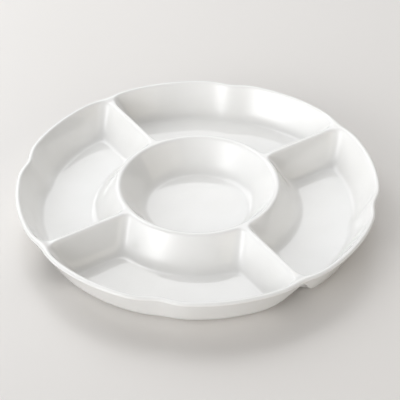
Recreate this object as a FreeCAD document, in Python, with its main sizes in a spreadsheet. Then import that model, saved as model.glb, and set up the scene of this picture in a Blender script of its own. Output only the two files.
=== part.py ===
import FreeCAD, Part
import Sketcher
import math
import os
import re

# Chip and dip server: one thin porcelain moulding, a round dip bowl inside four quarter compartments.
# Frame: millimetres, +Z up, origin on the table at the centre of the base. The compartments face
# -Y (front), +X (right), +Y (back) and -X (left), and the dividers lie on the diagonals between them.
# The moulding is made as named regions that meet face to face, with four ground foot rings under it.

SIZES = {
    "rim_radius": 160.0,         # to the outermost edge of a lobe
    "rim_height": 34.0,          # table to the top of the outer rim
    "ridge_height": 32.8,        # table to the top of the dividers and of the bowl's rim
    "base_radius": 143.5,        # outer wall where it meets the table
    "wall": 4.0,                 # thickness of the skin, square to its surface
    "crest": 3.8,                # width of the rims and ridges at the top
    "floor_height": 5.2,         # table to the compartment floors
    "wall_foot_radius": 140.5,   # inner face of the outer wall at floor level
    "flare_foot_radius": 89.0,   # outside of the bowl's flare at floor level
    "divider_foot": 16.0,        # divider flank from its mid-plane at floor level
    "bowl_radius": 70.0,         # middle of the bowl's rim
    "bowl_floor_height": 6.0,
    "bowl_floor_radius": 46.0,   # where the bowl's wall would meet its floor unrounded
    "bowl_skin": 4.0,            # thickness of the bowl's floor
    "foot_height": 0.6,
    "foot_width": 4.0,
    "foot_inset": 3.0,           # foot rings behind the outer wall's face
    "foot_corner": 10.0,         # plan radius of the foot rings' outer corners
    "split_radius": 72.5,        # where the bowl region ends, just outside its rim
    "divider_half": 22.0,        # half the width of a divider region, feet included
    "notch_radius": 25.0,        # roundness of the notches in the outer wall
    "divider_notch": 2.3,        # depth at the rim of the notches at the dividers
    "lobe_notch": 3.5,           # depth at the rim of the notches between the dividers
    "notch_at_base": 0.12,       # share of a notch's depth left at the table
    "floor_fillet": 7.0,
    "bowl_fillet": 8.0,
    "crest_fillet": 1.5,
    "hollow_fillet": 3.0,        # top of the hollows under the ridges
    "margin": 3.0,               # how far a cutting solid runs past what it cuts
}

COMPARTMENTS = {"right": 0, "back": 90, "left": 180, "front": 270}
DIVIDERS = {"back_right": 45, "back_left": 135, "front_left": 225, "front_right": 315}
HALF_QUARTER = 45
ROD_SHARE = 3  # length of the rods that press the notches, over the rim's height
LEVEL = 0.01  # how exactly an edge has to lie at a height to be picked by it

# How a sketch's constraints name the ends of a line, the origin and the axes.
START, END = 1, 2
ORIGIN, H_AXIS, V_AXIS = -1, -1, -2

# Formulas shared by several features, with sheet cells in square brackets.
DEPTH = "([ridge_height] - [floor_height])"
DIVIDER_SLOPE = f"(([divider_foot] - [crest] / 2) / {DEPTH})"
FLARE_SLOPE = f"(([flare_foot_radius] - [bowl_radius] - [crest] / 2) / {DEPTH})"
BOWL_DEPTH = "([ridge_height] - [bowl_floor_height])"
WALL_LEAN = "(([rim_radius] - [base_radius]) / [rim_height])"
BOWL_SLOPE = f"(([bowl_radius] - [crest] / 2 - [bowl_floor_radius]) / {BOWL_DEPTH})"
REACH = "([rim_radius] + [margin])"
TOP = "([rim_height] + [margin])"

doc = FreeCAD.newDocument("chip_and_dip_server")
sheet = doc.addObject("Spreadsheet::Sheet", "Sizes")
for row, (alias, number) in enumerate(SIZES.items(), start=1):
    sheet.set(f"A{row}", alias)
    sheet.set(f"B{row}", str(number))
    sheet.setAlias(f"B{row}", alias)
doc.recompute()


def cells(formula):
    """A formula with each bracketed name turned into a reference to that cell of the sheet."""
    return re.sub(r"\[(\w+)\]", r"Sizes.\1", formula)


def size(formula):
    return float(sheet.evalExpression(cells(formula)))


def bind(thing, **formulas):
    for prop, formula in formulas.items():
        thing.setExpression(prop, cells(formula))


def about_z(degrees):
    return FreeCAD.Rotation(FreeCAD.Vector(0, 0, 1), degrees)


def turn(thing, degrees):
    thing.Placement = FreeCAD.Placement(FreeCAD.Vector(0, 0, 0), about_z(degrees))
    return thing


def combined(kind, name, base, tool):
    result = doc.addObject(kind, name)
    result.Base = base
    result.Tool = tool
    return result


def cut(name, base, tool):
    return combined("Part::Cut", name, base, tool)


def fuse(name, base, tool):
    return combined("Part::Fuse", name, base, tool)


def common(name, base, tool):
    return combined("Part::Common", name, base, tool)


def cylinder(name, radius, low, high):
    solid = doc.addObject("Part::Cylinder", name)
    bind(solid, Radius=radius, Height=f"{high} - {low}")
    solid.setExpression(".Placement.Base.z", cells(low))
    return solid


def box(name, start, end, degrees):
    """A box between two corners given as formulas, turned about Z."""
    solid = doc.addObject("Part::Box", name)
    bind(solid, Length=f"{end[0]} - ({start[0]})", Width=f"{end[1]} - ({start[1]})")
    bind(solid, Height=f"{end[2]} - ({start[2]})")
    corner = FreeCAD.Vector(*(size(formula) for formula in start))
    solid.Placement = FreeCAD.Placement(about_z(degrees).multVec(corner), about_z(degrees))
    return solid


def drawn_body(name, plane, corners):
    """A body and its sketch of a closed polygon whose corners are pairs of formulas."""
    body = doc.addObject("PartDesign::Body", name)
    sketch = body.newObject("Sketcher::SketchObject", name + "_outline")
    planes = {feature.Role: feature for feature in body.Origin.OriginFeatures}
    sketch.AttachmentSupport = [(planes[plane], "")]
    sketch.MapMode = "FlatFace"
    spots = [FreeCAD.Vector(size(across), size(up), 0) for across, up in corners]
    for start, end in zip(spots, spots[1:] + spots[:1]):
        sketch.addGeometry(Part.LineSegment(start, end))
    for index, corner in enumerate(corners):
        before = (index - 1) % len(corners)
        sketch.addConstraint(Sketcher.Constraint("Coincident", before, END, index, START))
        for kind, formula, axis in (("DistanceX", corner[0], V_AXIS), ("DistanceY", corner[1], H_AXIS)):
            if formula == "0":
                sketch.addConstraint(Sketcher.Constraint("PointOnObject", index, START, axis))
                continue
            rule = Sketcher.Constraint(kind, ORIGIN, START, index, START, size(formula))
            number = sketch.addConstraint(rule)
            bind(sketch, **{f"Constraints[{number}]": formula})
    doc.recompute()
    return body, sketch


def turned_body(name, corners):
    """A solid of revolution about Z from a polygon of (radius, height) formulas."""
    body, sketch = drawn_body(name, "XZ_Plane", corners)
    revolution = body.newObject("PartDesign::Revolution", name + "_turned")
    revolution.Profile = sketch
    revolution.ReferenceAxis = (sketch, ["V_Axis"])
    revolution.Angle = 360
    doc.recompute()
    return body


def level_at(*formulas):
    """Picks the edges that lie level at one of some heights."""
    heights = [size(formula) for formula in formulas]

    def chosen(edge):
        bounds = edge.BoundBox
        return bounds.ZLength < LEVEL and any(abs(bounds.ZMax - height) < LEVEL for height in heights)

    return chosen


def upright(edge):
    """Picks the edges up a corner, not the seam of a turned face."""
    return len(edge.Vertexes) == 2 and edge.BoundBox.ZLength > LEVEL


def fillet_body(body, radius, chosen):
    """Rounds those edges of a body that chosen accepts."""
    base = body.Tip
    names = [f"Edge{i}" for i, edge in enumerate(base.Shape.Edges, start=1) if chosen(edge)]
    fillet = body.newObject("PartDesign::Fillet", body.Name + "_rounded")
    fillet.Base = (base, names)
    bind(fillet, Radius=radius)
    doc.recompute()
    return body


def fillet_solid(name, base, radius, chosen):
    """Rounds those edges of a solid that chosen accepts."""
    doc.recompute()
    fillet = doc.addObject("Part::Fillet", name)
    fillet.Base = base
    round_to = size(radius)
    numbered = enumerate(base.Shape.Edges, start=1)
    fillet.Edges = [(index, round_to, round_to) for index, edge in numbered if chosen(edge)]
    doc.recompute()
    return fillet


def long_body(name, corners):
    """A solid along +X from the axis past the rim, its section a polygon of (across, height)."""
    body, sketch = drawn_body(name, "YZ_Plane", corners)
    pad = body.newObject("PartDesign::Pad", name + "_pad")
    pad.Profile = sketch
    bind(pad, Length=REACH)
    doc.recompute()
    return body


def skin_across(slope):
    """Formula for the skin's thickness measured level, on a wall that leans out by slope."""
    return f"([wall] * sqrt(1 + {slope}^2))"


# The underside of the bowl's wall, of its flare and of the ridges, as radii or half-widths at ridge
# height and at the table.
UNDER_BOWL = f"([bowl_radius] - [crest] / 2 + {skin_across(BOWL_SLOPE)})"
UNDER_FLARE = f"([bowl_radius] + [crest] / 2 - {skin_across(FLARE_SLOPE)})"
FLARE_BASE = f"({UNDER_FLARE} + {FLARE_SLOPE} * [ridge_height])"
RIDGE_BASE = f"([crest] / 2 - {skin_across(DIVIDER_SLOPE)} + {DIVIDER_SLOPE} * [ridge_height])"
# How far below ridge height the two faces of each hollow meet.
RING_DROP = f"(({UNDER_BOWL} - {UNDER_FLARE}) / ({BOWL_SLOPE} + {FLARE_SLOPE}))"
TENT_DROP = f"(({skin_across(DIVIDER_SLOPE)} - [crest] / 2) / {DIVIDER_SLOPE})"


# ---- shared forms ----------------------------------------------------------------------------------


def trough_ring():
    """Floor, outer wall and flare all the way round, before the dividers: a ring-shaped trough."""
    beyond = "([split_radius] - [bowl_radius] - [crest] / 2)"
    body = turned_body(
        "trough_ring",
        [
            ("[split_radius]", f"[ridge_height] - ([split_radius] - {UNDER_FLARE}) / {FLARE_SLOPE}"),
            ("[split_radius]", f"[ridge_height] - {beyond} / {FLARE_SLOPE}"),
            ("[flare_foot_radius]", "[floor_height]"),
            ("[wall_foot_radius]", "[floor_height]"),
            ("[rim_radius] - [crest]", "[rim_height]"),
            ("[rim_radius]", "[rim_height]"),
            (f"[base_radius] + {WALL_LEAN} * [foot_height]", "[foot_height]"),
            (f"{UNDER_FLARE} + {FLARE_SLOPE} * ([ridge_height] - [foot_height])", "[foot_height]"),
        ],
    )
    fillet_body(body, "[floor_fillet]", level_at("[floor_height]"))
    return fillet_body(body, "[crest_fillet]", level_at("[rim_height]"))


def outer_cone():
    """All inside the outer wall's outer face."""
    cone = doc.addObject("Part::Cone", "outer_cone")
    bind(cone, Radius1="[base_radius]", Radius2="[rim_radius]", Height="[rim_height]")
    return cone


def flute_rod(name, degrees, depth, radius):
    """A leaning rod that presses a notch into the outer wall: its depth at the rim, less below."""
    height = size("[rim_height]")
    foot = size(f"[base_radius] - {depth} * [notch_at_base]")
    head = size(f"[rim_radius] - {depth}")
    lean = math.atan2(head - foot, height)
    along = FreeCAD.Vector(math.sin(lean), 0, math.cos(lean))
    axis_foot = FreeCAD.Vector(foot + size("[notch_radius]") / math.cos(lean), 0, 0)
    rod = doc.addObject("Part::Cylinder", name)
    bind(rod, Radius=radius, Height=f"{ROD_SHARE} * [rim_height]")
    tilt = FreeCAD.Rotation(FreeCAD.Vector(0, 1, 0), math.degrees(lean))
    turned = about_z(degrees)
    rod.Placement = FreeCAD.Placement(turned.multVec(axis_foot - along * height), turned * tilt)
    return rod


def notched(name, degrees, depth, base, region):
    """A stretch of the moulding with a flute pressed into its outer wall, bulging on the inside."""
    outer = flute_rod(name + "_outer", degrees, depth, "[notch_radius] + [wall]")
    wall = common(name + "_wall", outer, doc.getObject("outer_cone"))
    joined = fuse(name + "_joined", base, common(name + "_bulge", wall, region))
    return cut(name, joined, flute_rod(name + "_groove", degrees, depth, "[notch_radius]"))


def under_bowl():
    """The ring-shaped hollow between the bowl's wall and its flare, and all below the foot rings' tops."""
    ceiling = "[foot_height]"
    body = turned_body(
        "under_bowl",
        [
            ("0", "-[margin]"),
            ("0", ceiling),
            (f"{UNDER_BOWL} - {BOWL_SLOPE} * ([ridge_height] - {ceiling})", ceiling),
            (f"{UNDER_BOWL} - {BOWL_SLOPE} * {RING_DROP}", f"[ridge_height] - {RING_DROP}"),
            (f"{UNDER_FLARE} + {FLARE_SLOPE} * ([ridge_height] - {ceiling})", ceiling),
            (REACH, ceiling),
            (REACH, "-[margin]"),
        ],
    )
    return fillet_body(body, "[hollow_fillet]", level_at(f"[ridge_height] - {RING_DROP}"))


# ---- the named regions ------------------------------------------------------------------------------


def bowl():
    """The dip bowl in section: floor, wall, rim, and the first of the flare down to the split."""
    beyond = "([split_radius] - [bowl_radius] - [crest] / 2)"
    underside = "([bowl_floor_height] - [bowl_skin])"
    body = turned_body(
        "dip_bowl",
        [
            ("0", underside),
            (f"{UNDER_BOWL} - {BOWL_SLOPE} * ([ridge_height] - {underside})", underside),
            (f"{UNDER_BOWL} - {BOWL_SLOPE} * {RING_DROP}", f"[ridge_height] - {RING_DROP}"),
            ("[split_radius]", f"[ridge_height] - ([split_radius] - {UNDER_FLARE}) / {FLARE_SLOPE}"),
            ("[split_radius]", f"[ridge_height] - {beyond} / {FLARE_SLOPE}"),
            ("[bowl_radius] + [crest] / 2", "[ridge_height]"),
            ("[bowl_radius] - [crest] / 2", "[ridge_height]"),
            ("[bowl_floor_radius]", "[bowl_floor_height]"),
            ("0", "[bowl_floor_height]"),
        ],
    )
    fillet_body(body, "[bowl_fillet]", level_at("[bowl_floor_height]"))
    fillet_body(body, "[hollow_fillet]", level_at(f"[ridge_height] - {RING_DROP}"))
    return fillet_body(body, "[crest_fillet]", level_at("[ridge_height]"))


def compartment(name, degrees):
    """A trough: its floor, its stretch of the outer wall and of the bowl's flare."""
    start = ("[divider_half]", "[divider_half]", "[foot_height]")
    quarter = box(name + "_quarter", start, (REACH, REACH, TOP), degrees - HALF_QUARTER)
    stretch = common(name + "_stretch", doc.getObject("trough_ring"), quarter)
    return notched(name, degrees, "[lobe_notch]", stretch, quarter)


def ridge(name, degrees):
    """A divider's ridge on a strip of floor, up to the outside of the outer wall."""
    body = long_body(
        name + "_ridge",
        [
            ("-[divider_half]", "[foot_height]"),
            ("[divider_half]", "[foot_height]"),
            ("[divider_half]", "[floor_height]"),
            ("[divider_foot]", "[floor_height]"),
            ("[crest] / 2", "[ridge_height]"),
            ("-[crest] / 2", "[ridge_height]"),
            ("-[divider_foot]", "[floor_height]"),
            ("-[divider_half]", "[floor_height]"),
        ],
    )
    inside = size("([divider_half] + [divider_foot]) / 2")

    def lengthwise(*heights):
        level = level_at(*heights)

        def chosen(edge):
            bounds = edge.BoundBox
            whole_length = abs(bounds.XLength - size(REACH)) < LEVEL
            return whole_length and level(edge) and abs(bounds.YMin) < inside

        return chosen

    fillet_body(body, "[floor_fillet]", lengthwise("[floor_height]"))
    fillet_body(body, "[crest_fillet]", lengthwise("[ridge_height]"))
    return common(name + "_trimmed", turn(body, degrees), doc.getObject("outer_cone"))


def tent(name, degrees):
    """The hollow under a ridge, open through the outer wall as an arch."""
    wide = f"({RIDGE_BASE} + {DIVIDER_SLOPE} * [margin])"
    apex = f"[ridge_height] - {TENT_DROP}"
    body = long_body(name + "_tent", [(f"-{wide}", "-[margin]"), (wide, "-[margin]"), ("0", apex)])
    return turn(fillet_body(body, "[hollow_fillet]", level_at(apex)), degrees)


def divider(name, degrees):
    """A ridge with its feet, its end of the outer wall and the arch under that."""
    half = "[divider_half]"
    start = ("0", f"-{half}", "[foot_height]")
    strip = box(name + "_strip", start, (REACH, half, TOP), degrees)
    walls = common(name + "_walls", doc.getObject("trough_ring"), strip)
    joined = fuse(name + "_whole", walls, ridge(name, degrees))
    fluted = notched(name + "_fluted", degrees, "[divider_notch]", joined, strip)
    open_below = cut(name + "_open", fluted, tent(name, degrees))
    relieved = cut(name + "_relieved", open_below, doc.getObject("under_bowl"))
    return cut(name, relieved, cylinder(name + "_middle", "[split_radius]", "-[margin]", TOP))


def footprint(name, degrees, inset, low, high):
    """The plan of one compartment's base, set in from its edges, as a flat solid."""
    edge = f"({RIDGE_BASE} + {inset})"
    quarter = box(name + "_quarter", (edge, edge, low), (REACH, REACH, high), degrees - HALF_QUARTER)
    disc = cylinder(name + "_disc", f"[base_radius] - {inset}", low, high)
    middle = cylinder(name + "_middle", f"{FLARE_BASE} + {inset}", low, high)
    sharp = cut(name + "_sharp", common(name + "_sector", disc, quarter), middle)
    return fillet_solid(name, sharp, f"[foot_corner] - {inset}", upright)


def foot(name, degrees):
    """The low ring along the edge of one compartment's base."""
    outer = footprint(name + "_outer", degrees, "[foot_inset]", "0", "[foot_height]")
    inner = footprint(name + "_inner", degrees, "([foot_inset] + [foot_width])", "-[margin]", TOP)
    return cut(name, outer, inner)


def check(things):
    """Stops on any object that failed to compute and on any region that isn't one sound solid."""
    for thing in doc.Objects:
        if {"Invalid", "Error"} & set(thing.State):
            raise RuntimeError(f"{thing.Name} is {thing.State}")
    for thing in things:
        if thing.Shape.isNull() or not thing.Shape.isValid() or len(thing.Shape.Solids) != 1:
            raise RuntimeError(f"{thing.Label} is not one valid solid")


def main():
    outer_cone()
    trough_ring()
    under_bowl()
    parts = [bowl()]
    for name, degrees in COMPARTMENTS.items():
        parts.append(compartment(name + "_compartment", degrees))
        parts.append(foot(name + "_foot", degrees))
    for name, degrees in DIVIDERS.items():
        parts.append(divider(name + "_divider", degrees))
    doc.recompute()
    check(parts)
    os.makedirs("parts", exist_ok=True)
    for part in parts:
        part.Label = part.Name
        part.Shape.exportStep(f"parts/{part.Label}.step")
        print(part.Label, round(part.Shape.Volume), "mm3")


main()
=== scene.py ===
import math

import bpy
import mathutils
import numpy as np
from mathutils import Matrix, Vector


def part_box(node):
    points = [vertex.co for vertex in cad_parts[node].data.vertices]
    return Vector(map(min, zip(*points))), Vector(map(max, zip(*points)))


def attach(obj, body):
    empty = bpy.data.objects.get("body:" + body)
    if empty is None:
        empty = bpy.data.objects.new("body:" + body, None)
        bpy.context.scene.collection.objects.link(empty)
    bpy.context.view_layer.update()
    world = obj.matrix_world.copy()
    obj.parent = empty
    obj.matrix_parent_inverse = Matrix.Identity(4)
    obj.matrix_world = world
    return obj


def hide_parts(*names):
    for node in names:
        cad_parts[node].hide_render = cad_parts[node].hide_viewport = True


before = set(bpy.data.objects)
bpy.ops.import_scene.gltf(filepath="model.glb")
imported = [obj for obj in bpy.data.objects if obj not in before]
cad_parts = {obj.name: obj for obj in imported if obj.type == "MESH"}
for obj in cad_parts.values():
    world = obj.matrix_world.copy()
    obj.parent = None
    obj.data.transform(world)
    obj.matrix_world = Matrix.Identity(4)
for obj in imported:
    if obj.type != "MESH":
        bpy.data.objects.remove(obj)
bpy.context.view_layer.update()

# Chip and dip server: one thin porcelain moulding, drawn as an upper and a lower surface over the same
# polar grid and divided into the frame's regions. Lengths are in millimetres until a mesh is made, and
# in metres for the floor, the lamps and the camera. +X is to the right and +Y to the back.

MM = 0.001


def reach(node):
    """The greatest distance of a node's surface from the server's axis."""
    return max(math.hypot(v.co.x, v.co.y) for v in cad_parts[node].data.vertices) / MM


def top_of(node):
    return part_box(node)[1][2] / MM


# Sizes read from the frame.
RIM_RADIUS = reach("right_compartment")
RIM_HEIGHT = top_of("right_compartment")
RIDGE_HEIGHT = top_of("dip_bowl")
SPLIT_RADIUS = reach("dip_bowl")
FOOT_HEIGHT = top_of("right_foot")
FOOT_RADIUS = reach("right_foot")

# The foot rings.
FOOT_INSET = 3.0                # in from the edges of the base
FOOT_WIDTH = 4.0
FOOT_CORNER = 10.0              # radius of a ring's corners, seen from above
FOOT_EDGE = 0.45                # rounding of its lower edges

# The section through the server. A wall's foot is where it would meet the floor unrounded.
SKIN = 4.0                      # thickness of the leaning walls
CREST = 3.8                     # width across a rounded rim
LIP = CREST / 2
FLOOR = 5.2                     # height of the compartments' floors
BASE_RADIUS = FOOT_RADIUS + FOOT_INSET
WALL_FOOT_RADIUS = 140.5        # outer wall, on the inside
FLARE_FOOT_RADIUS = 89.0        # flared outside of the bowl
DIVIDER_FOOT = 16.0             # out from the divider's middle
BOWL_RADIUS = 70.0              # middle of the bowl's rim
BOWL_FLOOR = 6.0
BOWL_FLOOR_RADIUS = 49.0
BOWL_RIM_HEIGHT = RIDGE_HEIGHT - 0.2

# Where the crest climbs from the bowl's rim to the dividers, and from them to the outer rim.
RIDGE_CLIMB = (74.0, 84.0)
RIM_CLIMB = (RIM_RADIUS - 9, RIM_RADIUS - 3)

# Blends of the upper surface, each as the difference in height within which it acts.
FLOOR_FILLET = 9.0
BOWL_FILLET = 7.0
FLARE_BLEND = 22.0
WALL_BLEND = 34.0
CREST_BLEND = 3.2

# The hollow underside: the tunnels under the dividers, which widen to a mouth in the outer wall.
ARCH_TOP = 26.5
TUNNEL_WIDTH = 9.5
MOUTH_WIDTH = 14.0
MOUTH_START = 134.0
FLARE_TOP = ARCH_TOP + 2
BOWL_UNDERSIDE = 2.0

# Blends of the underside. The corners in it are rounder at the table than at the top of an arch.
LOW_CORNER = 12.0
HIGH_CORNER = 4.0
FLARE_CORNER = 8.0
BASE_BLEND = 1.0
BOWL_UNDER_BLEND = 8.0
UNDER_BLEND = 2.0

# The notches between lobes: depth at the rim, width in radians, shares of the depth left at the table.
DIVIDER_NOTCH = 2.3
LOBE_NOTCH = 3.5
NOTCH_WIDTH = math.radians(4.7)
OUTER_NOTCH_SHARE = 0.4
INNER_NOTCH_SHARE = 0.6

# Names in turn, anticlockwise from above: the compartments from +X on, the dividers an eighth of a turn
# further.
DIVIDERS = ["back_right", "back_left", "front_left", "front_right"]
COMPARTMENTS = ["right", "back", "left", "front"]
QUARTER_TURN = math.pi / 2
EIGHTH_TURN = math.pi / 4


# ---- the two surfaces ------------------------------------------------------------------------------

def softer(difference, blend):
    """How far a smooth maximum stands above a sharp one."""
    overlap = np.maximum(blend - np.abs(difference), 0) / blend
    return overlap ** 3 * blend / 6


def higher(a, b, blend):
    return np.maximum(a, b) + softer(a - b, blend)


def lower(a, b, blend):
    return np.minimum(a, b) - softer(a - b, blend)


def filleted(a, b, blend):
    """The higher of two surfaces, with a fillet whose curve starts at once."""
    overlap = np.maximum(blend - np.abs(a - b), 0)
    return np.maximum(a, b) + overlap ** 2 / (4 * blend)


def ramp(value, start, end):
    """0 at start, 1 at end, with level ends."""
    share = np.clip((value - start) / (end - start), 0, 1)
    return share * share * (3 - 2 * share)


def wall_lean():
    """Angle from upright of the outer face, which touches the rounded lip and ends on the base circle."""
    across = RIM_RADIUS - LIP - BASE_RADIUS
    up = RIM_HEIGHT - LIP
    return math.acos(-LIP / math.hypot(across, up)) - math.atan2(up, across)


LEAN = wall_lean()
WALL_TOP = RIM_HEIGHT - LIP - LIP * math.sin(LEAN)

# How far each wall leans for each millimetre that it rises.
OUTER_RUN = math.tan(LEAN)
INNER_RUN = (RIM_RADIUS - CREST - WALL_FOOT_RADIUS) / (RIM_HEIGHT - FLOOR)
DIVIDER_RUN = (DIVIDER_FOOT - LIP) / (RIDGE_HEIGHT - FLOOR)
FLARE_RUN = (FLARE_FOOT_RADIUS - BOWL_RADIUS - LIP) / (RIDGE_HEIGHT - FLOOR)
BOWL_RUN = (BOWL_RADIUS - LIP - BOWL_FLOOR_RADIUS) / (RIDGE_HEIGHT - BOWL_FLOOR)


def drop(run):
    """How far below a leaning wall's upper face its lower face is, measured straight down."""
    return SKIN * math.sqrt(1 + 1 / run ** 2)


def notch(turned):
    """Inward shift of the rim at an angle from the nearest divider."""
    at_divider = DIVIDER_NOTCH * np.exp(-(turned / NOTCH_WIDTH) ** 2)
    between = LOBE_NOTCH * np.exp(-((np.abs(turned) - EIGHTH_TURN) / NOTCH_WIDTH) ** 2)
    return at_divider + between


def leaning_wall(radius, turned, foot, foot_height, run, notch_share):
    """Height of a wall that leans out from a foot circle, with the notches pressed into it.

    The share is how much of a notch's depth at the rim is left at the table."""
    pressed = notch(turned)
    rise = radius - foot + run * foot_height + pressed * notch_share
    return rise / (run - pressed * (1 - notch_share) / WALL_TOP)


def divider_wall(radius, turned):
    aside = np.abs(radius * np.sin(turned))
    return FLOOR + (DIVIDER_FOOT - aside) / DIVIDER_RUN


def flare_wall(radius):
    return FLOOR + (FLARE_FOOT_RADIUS - radius) / FLARE_RUN


def bowl_wall(radius):
    return BOWL_FLOOR + (radius - BOWL_FLOOR_RADIUS) / BOWL_RUN


def crest_height(radius, turned):
    """Height of the crests: the bowl's rim, then the dividers, then the outer rim."""
    ridge = BOWL_RIM_HEIGHT + (RIDGE_HEIGHT - BOWL_RIM_HEIGHT) * ramp(radius, *RIDGE_CLIMB)
    return ridge + (RIM_HEIGHT - RIDGE_HEIGHT) * ramp(radius + notch(turned), *RIM_CLIMB)


def upper_surface(radius, turned):
    divider = divider_wall(radius, turned)
    flare = flare_wall(radius)
    outer = leaning_wall(radius, turned, WALL_FOOT_RADIUS, FLOOR, INNER_RUN, INNER_NOTCH_SHARE)
    walls = higher(higher(divider, flare, FLARE_BLEND), outer, WALL_BLEND)
    outside = filleted(walls, FLOOR, FLOOR_FILLET)
    inside = filleted(bowl_wall(radius), BOWL_FLOOR, BOWL_FILLET)
    filled = np.where(radius > BOWL_RADIUS, outside, inside)
    return lower(filled, crest_height(radius, turned), CREST_BLEND)


def tunnel(radius, turned):
    """The bell-shaped hollow under a divider, wider at its mouth."""
    aside = radius * np.sin(turned)
    width = TUNNEL_WIDTH + (MOUTH_WIDTH - TUNNEL_WIDTH) * ramp(radius, MOUTH_START, BASE_RADIUS)
    return ARCH_TOP * np.exp(-(aside / width) ** 2)


def lower_surface(radius, turned):
    divider = tunnel(radius, turned)
    flare = lower(flare_wall(radius) - drop(FLARE_RUN), FLARE_TOP, UNDER_BLEND)
    outer = leaning_wall(radius, turned, BASE_RADIUS, 0, OUTER_RUN, OUTER_NOTCH_SHARE)
    climb = ramp(np.maximum(divider, outer), FOOT_HEIGHT, ARCH_TOP)
    corner = LOW_CORNER - (LOW_CORNER - HIGH_CORNER) * climb
    walls = higher(higher(divider, flare, np.minimum(corner, FLARE_CORNER)), outer, corner)
    outside = higher(walls, FOOT_HEIGHT, BASE_BLEND)
    inside = higher(bowl_wall(radius) - drop(BOWL_RUN), BOWL_UNDERSIDE, BOWL_UNDER_BLEND)
    return lower(inside, outside, UNDER_BLEND)


# ---- the grid ---------------------------------------------------------------------------------------

def spans(*stops):
    """Values from stop to stop, each stop given with the number of steps that lead to it."""
    values = [stops[0]]
    for end, steps in stops[1:]:
        values.extend(np.linspace(values[-1], end, steps + 1)[1:])
    return np.array(values)


# Columns: distances from a divider's middle, then even shares of the way to a compartment's middle.
DIVIDER_HALF = 22.0
COMPARTMENT_STEPS = 22
beside = spans(0, (3.2, 9), (6, 4), (12, 4), (DIVIDER_HALF, 12))
between = np.linspace(0, 1, COMPARTMENT_STEPS + 1)[1:]
HALF = len(beside) + len(between)
BESIDE = len(beside) - 1

# Rows: from the crest of the outer rim inwards, closest where the surfaces bend.
CREST_ROW = RIM_RADIUS - LIP
rows = spans(
    CREST_ROW,
    (154, 14),              # inside of the outer rim
    (145.4, 9),             # outer wall
    (142.6, 8),             # edge of the base
    (134, 12),              # foot of the outer wall
    (96, 14),               # compartment floor
    (84, 12),               # foot of the flare
    (74.5, 8),              # flare
    (SPLIT_RADIUS, 4),
    (66, 14),               # bowl rim
    (54, 9),                # bowl wall
    (42, 12),               # foot of the bowl wall
    (4, 10),                # bowl floor
)
ROWS = len(rows)
SPLIT_ROW = int(np.argmin(np.abs(rows - SPLIT_RADIUS)))

# Within the bowl the columns turn from parallel to the dividers to evenly spread, and towards the
# outer rim the rows turn from circles to the rim's outline.
PARALLEL_RADIUS = BOWL_RADIUS - 2
EVEN_START = 64.0
EVEN_END = 44.0
FOLLOW_START = 110.0
FOLLOW_PASSES = 4


def column_angles(radius, column):
    """Angle of a column from its divider at some radii; beside a divider it runs parallel to it."""
    safe = np.maximum(radius, PARALLEL_RADIUS)
    if column < len(beside):
        angle = np.arcsin(beside[column] / safe)
    else:
        start = np.arcsin(DIVIDER_HALF / safe)
        angle = start + (EIGHTH_TURN - start) * between[column - len(beside)]
    even = EIGHTH_TURN * column / (HALF - 1)
    return angle + (even - angle) * ramp(-radius, -EVEN_START, -EVEN_END)


def half_wedge():
    """Radii and angles of the grid from a divider to the middle of a compartment."""
    radii = np.zeros((ROWS, HALF))
    angles = np.zeros((ROWS, HALF))
    follows = np.clip((rows - FOLLOW_START) / (CREST_ROW - FOLLOW_START), 0, 1) ** 2
    for column in range(HALF):
        radius = rows.copy()
        for _ in range(FOLLOW_PASSES):
            angle = column_angles(radius, column)
            radius = rows - notch(angle) * follows
        radii[:, column] = radius
        angles[:, column] = angle
    return radii, angles


def whole_grid():
    """Radii, angles and angles from the nearest divider, for every row and column all round."""
    half_radii, half_angles = half_wedge()
    mirrored = slice(HALF - 2, 0, -1)
    wedge_radii = np.hstack([half_radii, half_radii[:, mirrored]])
    wedge_turned = np.hstack([half_angles, -half_angles[:, mirrored]])
    wedge_angles = np.hstack([half_angles, QUARTER_TURN - half_angles[:, mirrored]])
    starts = [EIGHTH_TURN + number * QUARTER_TURN for number in range(len(DIVIDERS))]
    angles = np.hstack([wedge_angles + start for start in starts])
    return np.tile(wedge_radii, len(DIVIDERS)), angles, np.tile(wedge_turned, len(DIVIDERS))


radii, angles, turned = whole_grid()
COLUMNS = radii.shape[1]
QUARTER = COLUMNS // len(DIVIDERS)


def points(radius, angle, height):
    return np.stack([radius * np.cos(angle), radius * np.sin(angle), height], axis=-1)


LIP_STEPS = 12
FACE_STEPS = 4


def lip_rings():
    """The outer rim's curl and the wall below it, down to the first row of the lower surface."""
    radius, angle, way = radii[0], angles[0], turned[0]
    foot = lower_surface(radius, way)
    rings = []
    for sweep in np.linspace(0, QUARTER_TURN + LEAN, LIP_STEPS + 1)[1:]:
        height = RIM_HEIGHT - LIP + LIP * math.cos(sweep)
        rings.append(points(radius + LIP * math.sin(sweep), angle, np.full(COLUMNS, height)))
    out = LIP * math.cos(LEAN)
    for share in np.linspace(0, 1, FACE_STEPS + 1)[1:-1]:
        rings.append(points(radius + out * (1 - share), angle, WALL_TOP + (foot - WALL_TOP) * share))
    return np.stack(rings)


# All points as one loop of rings: upper surface from the middle out, the lip, lower surface back in.
upper = points(radii, angles, upper_surface(radii, turned))
under = points(radii, angles, lower_surface(radii, turned))
lip = lip_rings()
loop = np.concatenate([upper[::-1], lip, under])
whole_points = loop.reshape(-1, 3)
RINGS = len(loop)
UNDER_FIRST = ROWS + len(lip)
OUT_FIRST = ROWS - 1 - SPLIT_ROW
OUT_LAST = RINGS - 1 - OUT_FIRST


# ---- the moulding and its regions -------------------------------------------------------------------

def ring_point(ring, column):
    return ring * COLUMNS + column % COLUMNS


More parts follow.
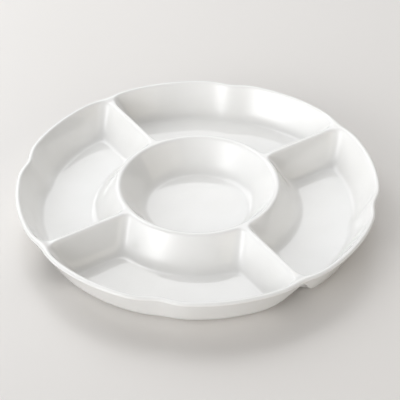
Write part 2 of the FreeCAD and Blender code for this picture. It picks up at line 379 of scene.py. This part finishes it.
def quads(first_ring, last_ring, first_column, last_column):
    return [
        (
            ring_point(ring, column),
            ring_point(ring + 1, column),
            ring_point(ring + 1, column + 1),
            ring_point(ring, column + 1),
        )
        for ring in range(first_ring, last_ring)
        for column in range(first_column, last_column)
    ]


def make_mesh(name, vertices, faces):
    mesh = bpy.data.meshes.new(name)
    mesh.from_pydata((np.asarray(vertices) * MM).tolist(), [], faces)
    mesh.update()
    mesh.polygons.foreach_set("use_smooth", [True] * len(mesh.polygons))
    return mesh


def make_piece(name, mesh):
    piece = bpy.data.objects.new(name, mesh)
    bpy.context.scene.collection.objects.link(piece)
    return piece


middle_top = tuple(ring_point(0, column) for column in range(COLUMNS))
middle_under = tuple(ring_point(RINGS - 1, column) for column in reversed(range(COLUMNS)))


def smooth_normals():
    """The normals of the undivided moulding, so that no cut between regions shows."""
    whole = make_mesh("whole", whole_points, quads(0, RINGS - 1, 0, COLUMNS) + [middle_top, middle_under])
    normals = np.zeros(whole_points.size)
    whole.vertices.foreach_get("normal", normals)
    bpy.data.meshes.remove(whole)
    return normals.reshape(-1, 3)


whole_normals = smooth_normals()


def make_region(name, surface, caps):
    """A closed piece of the whole: stretches of its surface and the flat faces where it was divided."""
    faces = surface + caps
    used = sorted({index for face in faces for index in face})
    place = {index: number for number, index in enumerate(used)}
    mesh = make_mesh(name, whole_points[used], [tuple(place[i] for i in face) for face in faces])
    normals = []
    for number, face in enumerate(faces):
        if number < len(surface):
            normals.extend(whole_normals[index] for index in face)
        else:
            normals.extend([mesh.polygons[number].normal] * len(face))
    mesh.normals_split_custom_set(normals)
    mesh.validate()
    return make_piece(name, mesh)


def side_cap(column, facing):
    """The cut face along one column, as quads between the surfaces and one face under the lip."""
    faces = []
    for ring in range(OUT_FIRST, ROWS - 1):
        other = RINGS - 1 - ring
        faces.append((
            ring_point(ring, column),
            ring_point(other, column),
            ring_point(other - 1, column),
            ring_point(ring + 1, column),
        ))
    faces.append(tuple(ring_point(ring, column) for ring in range(UNDER_FIRST, ROWS - 2, -1)))
    return faces if facing else [face[::-1] for face in faces]


def ring_cap(first_column, last_column, facing):
    """The cut face along the circle that divides the bowl from the rest."""
    faces = [
        (
            ring_point(OUT_FIRST, column),
            ring_point(OUT_FIRST, column + 1),
            ring_point(OUT_LAST, column + 1),
            ring_point(OUT_LAST, column),
        )
        for column in range(first_column, last_column)
    ]
    return faces if facing else [face[::-1] for face in faces]


def sector(name, first_column, last_column):
    surface = quads(OUT_FIRST, OUT_LAST, first_column, last_column)
    caps = side_cap(first_column, True) + side_cap(last_column, False)
    return make_region(name, surface, caps + ring_cap(first_column, last_column, True))


def bowl_region(name):
    surface = quads(0, OUT_FIRST, 0, COLUMNS) + quads(OUT_LAST, RINGS - 1, 0, COLUMNS)
    return make_region(name, surface, [middle_top, middle_under] + ring_cap(0, COLUMNS, False))


# ---- the foot rings ---------------------------------------------------------------------------------

CORNER_POINTS = 9
OUTER_ARC_POINTS = 41
INNER_ARC_POINTS = 31
EDGE_POINTS = 5


def under_foot(foot, run):
    """Where the lower face of a leaning wall would meet the table."""
    return foot - drop(run) * run + run * FLOOR


def corner_centre(radius, aside):
    """Centre of a corner at a distance aside from the divider, which lies along +X, and its angle."""
    away = math.asin(aside / radius)
    return radius * np.array([math.cos(away), math.sin(away)]), away


def corner_arc(centre, bend, first, last):
    turns = np.linspace(first, last, CORNER_POINTS)
    return centre + bend * np.stack([np.cos(turns), np.sin(turns)], axis=-1)


def ring_outline(inset):
    """Distances and angles round one foot ring about +X, drawn in from its outer edge."""
    outer = FOOT_RADIUS - inset
    inner = under_foot(FLARE_FOOT_RADIUS, FLARE_RUN) + inset + FOOT_INSET
    aside = under_foot(DIVIDER_FOOT, DIVIDER_RUN) + inset + FOOT_INSET
    bend = FOOT_CORNER - inset
    inner_centre, inner_away = corner_centre(inner + bend, aside + bend)
    outer_centre, outer_away = corner_centre(outer - bend, aside + bend)
    side = np.concatenate([
        corner_arc(inner_centre, bend, math.pi + inner_away, 1.5 * math.pi),
        corner_arc(outer_centre, bend, 1.5 * math.pi, 2 * math.pi + outer_away),
    ])
    distance = np.hypot(side[:, 0], side[:, 1])
    angle = np.arctan2(side[:, 1], side[:, 0]) - EIGHTH_TURN
    outer_arc = np.linspace(angle[-1], -angle[-1], OUTER_ARC_POINTS)[1:-1]
    inner_arc = np.linspace(-angle[0], angle[0], INNER_ARC_POINTS)[1:-1]
    distances = [distance, np.full(len(outer_arc), outer), distance[::-1], np.full(len(inner_arc), inner)]
    return np.concatenate(distances), np.concatenate([angle, outer_arc, -angle[::-1], inner_arc])


def foot_section():
    """Inset and height round a foot ring's section, from the glaze line down and up again."""
    side = [(0, FOOT_HEIGHT)]
    for turn in np.linspace(0, QUARTER_TURN, EDGE_POINTS):
        side.append((FOOT_EDGE * (1 - math.cos(turn)), FOOT_EDGE * (1 - math.sin(turn))))
    return side + [(FOOT_WIDTH - inset, height) for inset, height in side[::-1]]


def foot_ring(name, turn):
    """An unglazed ring with slightly rounded lower edges."""
    rings = []
    for inset, height in foot_section():
        distance, angle = ring_outline(inset)
        rings.append(points(distance, angle + turn, np.full(len(angle), height)))
    around = len(rings[0])
    faces = []
    for ring in range(len(rings)):
        after = (ring + 1) % len(rings)
        for step in range(around):
            beyond = (step + 1) % around
            faces.append((
                ring * around + step,
                ring * around + beyond,
                after * around + beyond,
                after * around + step,
            ))
    return make_piece(name, make_mesh(name, np.concatenate(rings), faces))


# ---- materials --------------------------------------------------------------------------------------

# The range in which most of a noise's values lie.
NOISE_LOW = 0.35
NOISE_HIGH = 0.65


def new_material(name):
    material = bpy.data.materials.new(name)
    material.use_nodes = True
    nodes = material.node_tree.nodes
    return material, nodes, material.node_tree.links, nodes["Principled BSDF"]


def noise(nodes, links, where, scale, detail):
    texture = nodes.new("ShaderNodeTexNoise")
    texture.inputs["Scale"].default_value = scale
    texture.inputs["Detail"].default_value = detail
    links.new(where.outputs["Object"], texture.inputs["Vector"])
    return texture.outputs["Fac"]


def mapped(nodes, links, value, low, high):
    """A noise's middle range spread between two values."""
    spread = nodes.new("ShaderNodeMapRange")
    spread.inputs["From Min"].default_value = NOISE_LOW
    spread.inputs["From Max"].default_value = NOISE_HIGH
    spread.inputs["To Min"].default_value = low
    spread.inputs["To Max"].default_value = high
    links.new(value, spread.inputs["Value"])
    return spread.outputs["Result"]


def two_tone(nodes, links, share, first, second):
    """A colour between two others."""
    tone = nodes.new("ShaderNodeMix")
    tone.data_type = "RGBA"
    tone.inputs["A"].default_value = (*first, 1)
    tone.inputs["B"].default_value = (*second, 1)
    links.new(share, tone.inputs["Factor"])
    return tone.outputs["Result"]


def bump(nodes, links, height, depth):
    """Normals of a surface that rises and falls by a depth in metres."""
    relief = nodes.new("ShaderNodeBump")
    relief.inputs["Distance"].default_value = depth
    links.new(height, relief.inputs["Height"])
    return relief.outputs["Normal"]


def glaze():
    """Glossy white porcelain glaze: a slow waviness, a faint mottle and uneven gloss."""
    material, nodes, links, shader = new_material("white_glaze")
    where = nodes.new("ShaderNodeTexCoord")
    shader.inputs["IOR"].default_value = 1.56
    mottle = mapped(nodes, links, noise(nodes, links, where, scale=22, detail=4), low=0, high=1)
    colour = two_tone(nodes, links, mottle, (0.84, 0.836, 0.818), (0.87, 0.867, 0.852))
    links.new(colour, shader.inputs["Base Color"])
    gloss = mapped(nodes, links, noise(nodes, links, where, scale=60, detail=3), low=0.02, high=0.045)
    links.new(gloss, shader.inputs["Roughness"])
    waves = bump(nodes, links, noise(nodes, links, where, scale=24, detail=1), depth=0.00014)
    links.new(waves, shader.inputs["Normal"])
    return material


def bare_porcelain():
    """Unglazed fired porcelain on the foot rings: matt, faintly grainy and a little darker."""
    material, nodes, links, shader = new_material("bare_porcelain")
    where = nodes.new("ShaderNodeTexCoord")
    shader.inputs["Roughness"].default_value = 0.8
    speckle = noise(nodes, links, where, scale=900, detail=6)
    grain = mapped(nodes, links, speckle, low=0, high=1)
    colour = two_tone(nodes, links, grain, (0.60, 0.585, 0.55), (0.74, 0.73, 0.70))
    links.new(colour, shader.inputs["Base Color"])
    links.new(bump(nodes, links, speckle, depth=0.00012), shader.inputs["Normal"])
    return material


# ---- the pieces -------------------------------------------------------------------------------------

def finish_piece(piece, node, material):
    piece.data.materials.append(material)
    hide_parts(node)
    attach(piece, "root")


def build_server():
    glazed = glaze()
    bare = bare_porcelain()
    finish_piece(bowl_region("porcelain_dip_bowl"), "dip_bowl", glazed)
    for number, name in enumerate(DIVIDERS):
        middle = number * QUARTER
        piece = sector(f"porcelain_{name}_divider", middle - BESIDE, middle + BESIDE)
        finish_piece(piece, f"{name}_divider", glazed)
    for number in range(len(DIVIDERS)):
        name = COMPARTMENTS[(number + 1) % len(COMPARTMENTS)]
        start = number * QUARTER
        piece = sector(f"porcelain_{name}_compartment", start + BESIDE, start + QUARTER - BESIDE)
        finish_piece(piece, f"{name}_compartment", glazed)
    for number, name in enumerate(COMPARTMENTS):
        piece = foot_ring(f"porcelain_{name}_foot", number * QUARTER_TURN)
        finish_piece(piece, f"{name}_foot", bare)


# ---- floor, lights, camera --------------------------------------------------------------------------

scene = bpy.context.scene
scene.view_settings.view_transform = "Standard"

FLOOR_HALF = 6
ROOM_LIGHT = 0.05
ROOM_COLOUR = (0.985, 0.99, 1, 1)

# The room's panels: azimuth and elevation in degrees, sharpness of the edge, strength.
PANELS = [
    (0, 20, 2.6, 0.82),      # wall behind
    (180, 20, 2.6, 0.25),    # wall in front
    (165, 32, 6, 0.4),       # ceiling over the camera
    (200, 8, 14, 1.3),       # low front
    (216, 20, 32, 4.25),     # key panel, front left
    (232, 6, 10, 2.2),       # low left
    (348, 45, 32, 2.3),      # bright panel behind
]

CAMERA_AZIMUTH = 168.0
CAMERA_ELEVATION = 38.45
CAMERA_ROLL = -0.4
CAMERA_DISTANCE = 1.294
CAMERA_AIM = (-0.0014, 0.0163, 0)
CAMERA_LENS = 128.9
CAMERA_SENSOR = 36


def direction(azimuth, elevation):
    """Unit vector towards a compass direction, azimuth 0 being behind the server."""
    turn, tilt = math.radians(azimuth), math.radians(elevation)
    level = math.cos(tilt)
    return mathutils.Vector((math.sin(turn) * level, math.cos(turn) * level, math.sin(tilt)))


def floor():
    corners = [(-1, -1), (1, -1), (1, 1), (-1, 1)]
    mesh = bpy.data.meshes.new("floor")
    mesh.from_pydata([(x * FLOOR_HALF, y * FLOOR_HALF, 0) for x, y in corners], [], [(0, 1, 2, 3)])
    material, nodes, links, shader = new_material("pale_floor")
    shader.inputs["Base Color"].default_value = (0.737, 0.715, 0.69, 1)
    shader.inputs["Roughness"].default_value = 0.4
    mesh.materials.append(material)
    plane = make_piece("floor", mesh)


def softbox(name, azimuth, elevation, distance, size, power, colour):
    """A rectangular lamp that faces the server, its size as width and height."""
    light = bpy.data.lights.new(name, "AREA")
    light.shape = "RECTANGLE"
    light.size, light.size_y = size
    light.energy = power
    light.color = colour
    lamp = bpy.data.objects.new(name, light)
    away = direction(azimuth, elevation)
    lamp.location = away * distance
    lamp.rotation_euler = away.to_track_quat("Z", "Y").to_euler()
    scene.collection.objects.link(lamp)


def room():
    """A studio round the server: dim walls with soft-edged bright panels."""
    world = bpy.data.worlds.new("room")
    world.use_nodes = True
    nodes, links = world.node_tree.nodes, world.node_tree.links
    where = nodes.new("ShaderNodeTexCoord")

    def maths(operation, *values):
        node = nodes.new("ShaderNodeMath")
        node.operation = operation
        for socket, value in zip(node.inputs, values):
            if isinstance(value, (int, float)):
                socket.default_value = value
            else:
                links.new(value, socket)
        return node.outputs[0]

    total = ROOM_LIGHT
    for azimuth, elevation, sharpness, strength in PANELS:
        facing = nodes.new("ShaderNodeVectorMath")
        facing.operation = "DOT_PRODUCT"
        facing.inputs[1].default_value = direction(azimuth, elevation)
        links.new(where.outputs["Generated"], facing.inputs[0])
        short_of = maths("SUBTRACT", facing.outputs["Value"], 1)
        fall = maths("EXPONENT", maths("MULTIPLY", short_of, sharpness))
        total = maths("ADD", total, maths("MULTIPLY", fall, strength))
    links.new(total, nodes["Background"].inputs["Strength"])
    nodes["Background"].inputs["Color"].default_value = ROOM_COLOUR
    scene.world = world


def camera():
    back = direction(CAMERA_AZIMUTH, CAMERA_ELEVATION)
    roll = mathutils.Quaternion((0, 0, 1), math.radians(CAMERA_ROLL))
    data = bpy.data.cameras.new("camera")
    data.lens = CAMERA_LENS
    data.sensor_width = CAMERA_SENSOR
    body = bpy.data.objects.new("camera", data)
    body.location = mathutils.Vector(CAMERA_AIM) + back * CAMERA_DISTANCE
    body.rotation_mode = "QUATERNION"
    body.rotation_quaternion = back.to_track_quat("Z", "Y") @ roll
    scene.collection.objects.link(body)
    scene.camera = body


build_server()
floor()
camera()
room()
softbox("back_left", 310, 42, distance=1.2, size=(0.72, 0.96), power=5.6, colour=(0.98, 0.99, 1))
softbox("right", 109, 27, distance=1.5, size=(1.7, 0.6), power=3.5, colour=(1, 0.92, 0.80))
